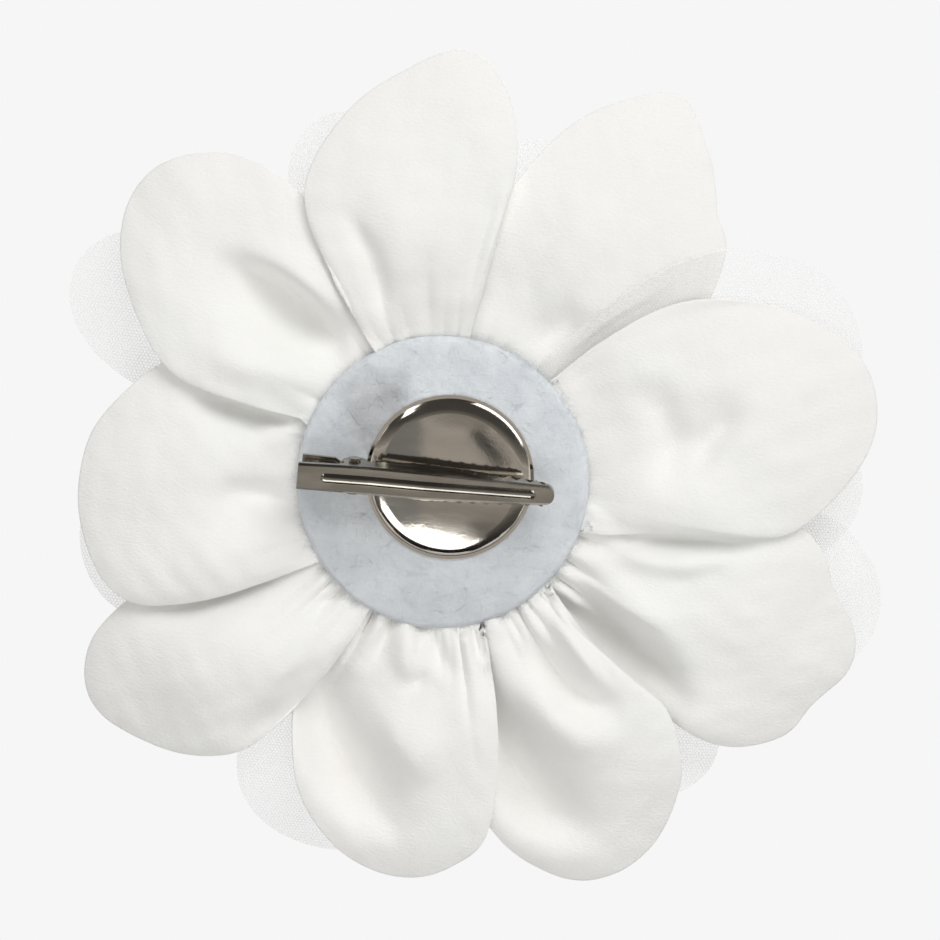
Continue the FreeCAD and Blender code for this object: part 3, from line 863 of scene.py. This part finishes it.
def add_back_petals(material, net_material):
    """Lay the back petals one on another, the lowest first, with one net petal over the first."""
    for layer, number in enumerate(BACK_ORDER):
        petal = BACK_PETALS[number - 1]
        fan = back_fan(petal, 64, 130)
        depth = HAIR_SIDE.clear(fan, back_depth(petal, fan, 100 * number), CLOTH / 2)
        slip = INSIDE_FELT_Y - PINCHED * layer
        depth = np.maximum(depth, slip - LET_GO * smooth_step(fan.radius, *FELT_EDGE))
        lay_petal(f"back_petal_{number}", fan, depth, material, True, (HAIR_SIDE, FAR_SIDE))
        if number == BACK_ORDER[0]:
            add_raised_net(net_material)


# ---------- other rings
def petal_outline(azimuth, tip, width, base, point):
    """Rounded petal outline; point draws its tip out a little."""
    t = np.linspace(0, 1, 17)
    out = np.sin(np.pi * t) ** 0.72
    side = -np.cos(np.pi * t) * (0.42 + 0.62 * np.sin(np.pi * t) ** 0.8)
    reach = base + (tip - base) * (out + point * out**6) / (1 + point)
    return turn_plan(np.stack([reach, side * width / 2 * 1.12], axis=1), azimuth)


def turn_plan(points, azimuth):
    angle = math.radians(azimuth)
    c, s = math.cos(angle), math.sin(angle)
    return points @ np.array([[c, s], [-s, c]])


# A ring of petals in front of the back ring. Its petals are (azimuth, radius of the tip, width); they
# start at the depth root and gain the rise on the way out.
Ring = namedtuple("Ring", "node petals root rise curve ruffle root_radius folding", defaults=(0.0,))


def ring_depth(ring, fan, seed, tip):
    rng = np.random.default_rng(seed)
    share = np.clip((fan.radius - ring.root_radius) / (tip - ring.root_radius), 0, 1.1)
    depth = ring.root + ring.rise * share**ring.curve
    depth += rng.uniform(-0.8, 0.8) * share
    depth += ring.ruffle * waves(seed + 3, fan.plan, 21.0) * share
    wobble = np.sin(2 * np.pi * (fan.v * rng.uniform(2.2, 3.4) + rng.uniform()))
    depth += ring.ruffle * 0.9 * wobble * share**3
    depth += 0.8 * fan.side * smooth_step(fan.radius, 18, 34)
    return depth + ring.folding * soft_folds(rng, fan, share)


def soft_folds(rng, fan, share):
    """Folds and ridges that run out from the root and fade before the rim."""
    depth = np.zeros_like(share)
    for sign in (1, -1, 1, -1, 1):
        place = rng.uniform(0.12, 0.88) + rng.uniform(-0.15, 0.15) * share
        width = rng.uniform(0.04, 0.09) * (0.5 + share)
        end = rng.uniform(0.5, 0.95)
        window = smooth_step(share, 0.02, 0.25) * (1 - smooth_step(share, end - 0.35, end))
        depth += sign * rng.uniform(0.6, 1.0) * window * np.exp(-(((fan.v - place) / width) ** 2))
    return depth


def even_petals(count, tip, width, turn, seed):
    rng = np.random.default_rng(seed)
    petals = []
    for i in range(count):
        azimuth = turn + 360 * i / count + rng.uniform(-3, 3)
        petals.append((azimuth, tip * rng.uniform(0.96, 1.02), width * rng.uniform(0.95, 1.08)))
    return petals


BACK_NET = Ring(
    "back_net",
    [(113, 58.5, 27), (76, 54, 34), (28, 62, 50), (2, 65.5, 34), (-16, 72.5, 40), (-47, 65, 30),
     (-82, 57, 30), (-105, 66, 40), (-159, 59, 34), (156, 65.5, 32)],
    ROOT_Y + 1.8, 8.5, 1.3, 0.7, 17.0,
)
MIDDLE_PETALS = Ring(
    "middle_petal",
    [(18, 54, 42), (58, 54, 40), (104, 54, 40), (149, 46, 38), (198, 49, 38), (244, 47, 36),
     (290, 54, 40), (337, 55, 42)],
    ROOT_Y + 2.4, 9.0, 1.6, 1.0, 16.0, 1.6,
)
MIDDLE_NET = Ring(
    "middle_net", even_petals(7, 50.0, 40, 5, 6), ROOT_Y + 4.4, 19.5, 1.3, 1.2, 15.0,
)
FRONT_PETALS = Ring(
    "front_petal", even_petals(6, 38.5, 35, 35, 7), ROOT_Y + 5.6, 20.5, 1.05, 1.3, 10.0, 1.8,
)


# The one net petal that lies up between two back petals, over the edge of the lower one.
RAISED_NET = 3
RAISED = BackPetal(
    [(16, 19), (12, 40), (14, 56), (19, 66.5), (26, 68.3), (33, 66.8), (39, 62.2), (44.5, 57),
     (49.5, 48), (53, 36), (58, 19)],
    (-3.0, 0.4), 1.0, (9, 0.3, 30.0),
    [
        ([(50, 24), (48, 36), (44, 48)], (1.0, 1.2), 0.9),
        ([(53, 24), (50, 36), (46, 52)], (0.7, 0.8), -0.6),
        ([(41, 40), (37, 52), (33, 60)], (2.0, 2.0), 0.5),
    ],
)


def add_raised_net(material):
    fan = back_fan(RAISED, 60, 100)
    depth = HAIR_SIDE.clear(fan, back_depth(RAISED, fan, 77), 0)
    lay_petal(f"{BACK_NET.node}_{RAISED_NET}", fan, depth, material, False, (HAIR_SIDE, FAR_SIDE))


# What the petals of a ring have in common: point of the tips, rows and columns, gathers, roll of the rim.
NET_MAKE = 0.0, (40, 80), (6, 0.4, 9.0), 0.0
LINED_MAKE = 0.05, (48, 90), (6, 0.8, 12.0), 1.6
RING_RIM_REACH = 6.0     # width of the rolled band along their rims


def add_ring(ring, material, seed, lined=False):
    """Lay the petals of a ring one on another, each away from the hair of those before it."""
    point, grid, gathers, roll = LINED_MAKE if lined else NET_MAKE
    for number, (azimuth, tip, width) in enumerate(ring.petals, 1):
        if (ring.node, number) == (BACK_NET.node, RAISED_NET):
            continue
        outline = petal_outline(azimuth, tip, width, ring.root_radius + 3, point)
        half = math.degrees(width * 0.3 / ring.root_radius)
        fan = Fan(outline, ring.root_radius, (azimuth - half, azimuth + half), *grid)
        depth = ring_depth(ring, fan, seed + 10 * number, tip)
        depth += pleats(seed + number, fan, *gathers)
        depth -= roll * np.exp(-fan.rim_gap / RING_RIM_REACH) * smooth_step(fan.radius, 20, 34)
        depth = FAR_SIDE.clear(fan, depth, CLOTH / 2 if lined else 0)
        lay_petal(f"{ring.node}_{number}", fan, depth, material, lined, (FAR_SIDE,))


# ---------- bud
BUD_TURNS = 3.2
BUD_ROWS, BUD_COLUMNS = 26, 320
BUD_CORE = 1.4           # radius of its innermost turn


def add_bud(material):
    """Strip of chiffon rolled up on itself, with a loose, wavy lip."""
    low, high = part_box("centre_bud")
    foot, top = low[1] / MM, high[1] / MM
    outer = (high[0] - low[0]) / 2 / MM
    turn = np.linspace(0, 1, BUD_COLUMNS)[None, :] * np.ones((BUD_ROWS, 1))
    rise = np.linspace(0, 1, BUD_ROWS)[:, None] * np.ones((1, BUD_COLUMNS))
    angle = 2 * np.pi * BUD_TURNS * turn
    radius = BUD_CORE + (outer * 0.78 - BUD_CORE) * turn**0.9
    radius = radius * (0.75 + 0.25 * rise) + (0.8 + 2.2 * turn) * rise**4
    ripple = np.sin(angle * 3.3 + 1.0) + 0.6 * np.sin(angle * 5.7)
    radius += 0.45 * ripple * rise**2 * (0.3 + turn)
    height = foot + 0.5 + (top - foot - 2.2) * rise * (1 - 0.28 * turn)
    height += 0.5 * np.sin(angle * 2.3) * rise**2
    points = np.stack([radius * np.cos(angle), height, radius * np.sin(angle)], axis=2)
    normal = normals(points)
    half = CLOTH / 2
    near, far = points - normal * half, points + normal * half
    length = 2 * np.pi * BUD_TURNS * outer * 0.45
    flat = np.stack([turn * length, rise * (top - foot)], axis=2).reshape(-1, 2)
    faces = closed_faces(BUD_ROWS, BUD_COLUMNS, BUD_ROWS)
    vertices = np.concatenate([near.reshape(-1, 3), far.reshape(-1, 3)])
    obj = cloth_object("cloth_centre_bud", vertices, faces, np.concatenate([flat, flat]), material)
    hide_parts("centre_bud")
    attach(obj, FLOWER)


# ---------- felt
FELT_SEED = 40
FELT_FUZZ = 2400
FUZZ_RADIUS = 0.017
FELT_ROUNDING = 0.9      # width of the soft edge


def add_felt(material):
    """Oval of felt with a soft rounded cut edge and an uneven, fibrous face."""
    half_x = (FELT_HIGH[0] - FELT_LOW[0]) / 2 / MM
    half_z = (FELT_HIGH[2] - FELT_LOW[2]) / 2 / MM
    near_y, far_y = FELT_LOW[1] / MM, FELT_HIGH[1] / MM
    middle_y, thick = (near_y + far_y) / 2, (far_y - near_y) / 2
    around, rings = 220, 46
    share = np.linspace(0, 1, rings) ** 0.8
    angle = np.linspace(0, 2 * np.pi, around, endpoint=False)
    edge = 1 + 0.004 * np.sin(3 * angle + 1) + 0.0015 * np.sin(11 * angle) + 0.001 * np.sin(29 * angle)
    unit = np.stack([np.cos(angle) * half_x * edge, np.sin(angle) * half_z * edge], axis=1)
    flat = share[:, None, None] * unit
    gap = (1 - share)[:, None] * np.linalg.norm(unit, axis=1)
    swell = np.sqrt(np.clip(1 - (1 - np.clip(gap / FELT_ROUNDING, 0, 1)) ** 2, 0, 1))
    relief = 0.05 * waves(FELT_SEED, flat, 3.0) + 0.05 * waves(FELT_SEED + 1, flat, 1.3)
    layers = []
    for side in (-1, 1):
        y = middle_y + side * thick * (0.25 + 0.75 * swell) + relief * swell
        layers.append(np.stack([flat[..., 0], y, flat[..., 1]], axis=2))
    count = rings * around
    vertices = np.concatenate([layer.reshape(-1, 3) for layer in layers])
    j = np.arange(around)
    k = (j + 1) % around
    faces = []
    for i in range(rings - 1):
        a, b = i * around, (i + 1) * around
        faces += np.stack([a + j, b + j, b + k, a + k], 1).tolist()
        faces += (np.stack([a + k, b + k, b + j, a + j], 1) + count).tolist()
    rim = (rings - 1) * around
    faces += np.stack([rim + j, rim + count + j, rim + count + k, rim + k], 1).tolist()
    plan_flat = np.concatenate([flat.reshape(-1, 2)] * 2)
    obj = cloth_object("felt_oval", vertices, faces, plan_flat, material)
    merge_close(obj)
    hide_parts("felt_disc")
    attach(obj, FLOWER)
    fuzz = add_fuzz(half_x, half_z, near_y, material)


def merge_close(obj):
    work = bmesh.new()
    work.from_mesh(obj.data)
    bmesh.ops.remove_doubles(work, verts=work.verts, dist=1e-7)
    work.to_mesh(obj.data)
    work.free()


def add_wires(name, lines, radius, resolution, capped):
    """Round wires along lines of points, which are in metres."""
    data = bpy.data.curves.new(name, "CURVE")
    data.dimensions = "3D"
    data.bevel_depth = radius * MM
    data.bevel_resolution = resolution
    data.use_fill_caps = capped
    for line in lines:
        spline = data.splines.new("POLY")
        spline.points.add(len(line) - 1)
        for point, place in zip(spline.points, line):
            point.co = (*place, 1)
    return add_object(name, data)


def fibre_line(rng, half_x, half_z, face_y, at_edge):
    """One fibre, which bends in four steps as it leaves the felt."""
    angle = rng.uniform(0, 2 * np.pi)
    share = rng.uniform(0.975, 1.0) if at_edge else math.sqrt(rng.uniform(0.05, 1.0))
    place = np.array([half_x * share * math.cos(angle), 0, half_z * share * math.sin(angle)])
    place[1] = face_y + (rng.uniform(0.1, 1.4) if at_edge else 0.02)
    heading = angle + rng.normal(0, 0.9) if at_edge else rng.uniform(0, 2 * np.pi)
    length = rng.uniform(0.6, 1.6) if at_edge else rng.uniform(1.2, 3.4)
    lift = -rng.uniform(0.0, 0.25 if at_edge else 0.06)
    curl = rng.normal(0, 1.1)
    line = [place]
    for _ in range(4):
        heading += curl / 4
        place = place + np.array([math.cos(heading), lift, math.sin(heading)]) * length / 4
        lift *= 0.6
        line.append(place)
    return (np.array(line) + AXIS) * MM


def add_fuzz(half_x, half_z, face_y, material):
    """Loose fibres that curl off the felt, every other one along its cut edge."""
    rng = np.random.default_rng(FELT_SEED + 5)
    lines = [fibre_line(rng, half_x, half_z, face_y, index % 2 == 0) for index in range(FELT_FUZZ)]
    fuzz = add_wires("felt_fuzz", lines, FUZZ_RADIUS, 0, False)
    fuzz.data.materials.append(material)
    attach(fuzz, FLOWER)
    return fuzz


# ---------- metal
def paint(node, material):
    for slot in frame["nodes"][node].material_slots:
        slot.material = material


NICKEL = (0.68, 0.635, 0.565)
JAW_NICKEL = (0.475, 0.445, 0.39)


def paint_metal():
    jaw = nickel("nickel_jaws", JAW_NICKEL, 0.16, warp=0.00007, streak=0.72)
    plate = nickel("nickel_plate", NICKEL, 0.10, (300.0, 300.0, 300.0))
    for node in ("upper_jaw", "lower_jaw"):
        paint(node, jaw)
    paint("round_plate", plate)
    paint("pivot_pin", jaw)
    paint("weld_pad", solder())
    paint("base_disc", buckram())


# ---------- spring
COIL_TURNS = 3.5
COIL_RADIUS = 1.25
WIRE_RADIUS = 0.22
LEG_REACH = 5.6          # how far the legs reach behind the pivot
UPPER_LEG, LOWER_LEG = -3.2, 2.35    # depth of their tips from the pivot


def spring_path():
    """Centre line of the wire about the pivot: upper leg, coil, lower leg."""
    low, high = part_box("torsion_spring")
    rise = (high[2] - low[2]) / MM / 2 - WIRE_RADIUS
    start = np.array([-LEG_REACH, UPPER_LEG, -rise])
    end = np.array([-LEG_REACH, LOWER_LEG, rise])
    turn = np.linspace(-0.5 * np.pi, (2 * COIL_TURNS - 0.5) * np.pi, 120)
    round_pin = COIL_RADIUS * np.cos(turn), COIL_RADIUS * np.sin(turn)
    wind = np.stack([*round_pin, np.linspace(-rise, rise, 120)], axis=1)
    legs = np.linspace(0, 1, 14, endpoint=False)[:, None]
    return np.vstack([start + (wind[0] - start) * legs, wind, (end + (wind[-1] - end) * legs)[::-1]])


def add_spring(material):
    """Torsion spring: one wire from its upper leg round the coil to its lower leg, laid about the pivot.
    """
    joint = frame["record"]["behaviour"]["joints"][0]
    pivot = np.array(joint["pos_m"]) / MM
    line = add_wires("spring_line", [(spring_path() + pivot) * MM], WIRE_RADIUS, 4, True)
    mesh = bpy.data.meshes.new_from_object(line)
    bpy.data.objects.remove(line)
    spring = add_object("spring_wire", mesh)
    mesh.polygons.foreach_set("use_smooth", np.ones(len(mesh.polygons), bool))
    mesh.materials.clear()
    mesh.materials.append(material)
    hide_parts("torsion_spring")
    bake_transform(spring)


add_camera()
add_stage()
add_light()
CHIFFON = chiffon()
NET = net()
add_back_petals(CHIFFON, NET)
add_ring(BACK_NET, NET, 1000)
add_ring(MIDDLE_PETALS, CHIFFON, 2000, lined=True)
add_ring(MIDDLE_NET, NET, 3000)
add_ring(FRONT_PETALS, CHIFFON, 4000, lined=True)
add_bud(CHIFFON)
add_felt(felt())
paint_metal()
add_spring(wire_steel())
